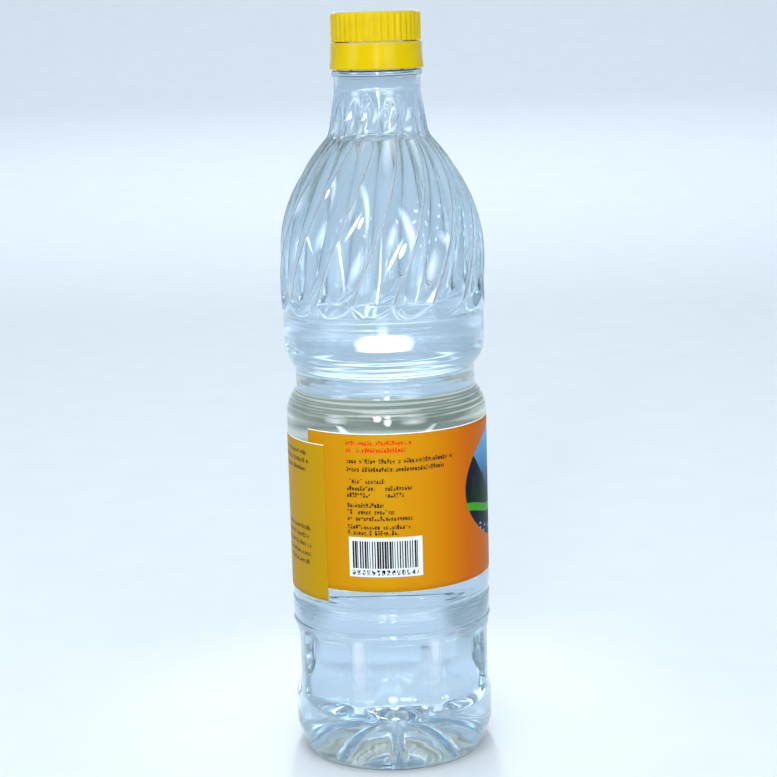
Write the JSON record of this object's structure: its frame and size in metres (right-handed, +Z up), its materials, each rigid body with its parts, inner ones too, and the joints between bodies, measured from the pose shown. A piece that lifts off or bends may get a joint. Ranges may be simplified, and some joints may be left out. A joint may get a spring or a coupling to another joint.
{
  "type": "bottle of pine water",
  "caption": "Clear plastic bottle with twisted flutes and a waist, full of pine water, with a wrapped label and a yellow screw cap on a collar.",
  "frame": {"origin": "middle of the standing ring, on the surface that the bottle stands on", "axes": "+Z up along the bottle; -Y is the side with the bar panel, seen in the picture; +X to its right"},
  "size_m": [0.0788, 0.0788, 0.2885],
  "materials": {
    "clear_plastic": "clear glossy moulded plastic with a faint blue tint",
    "drink": "clear still drink",
    "label_print": "printed film label, orange-yellow, satin",
    "yellow_plastic": "bright yellow moulded plastic, glossy"
  },
  "bodies": {
    "root": {"bottle": "clear_plastic", "water": "drink", "label": "label_print", "cap_collar": "yellow_plastic", "cap": "yellow_plastic"}
  },
  "joints": []
}
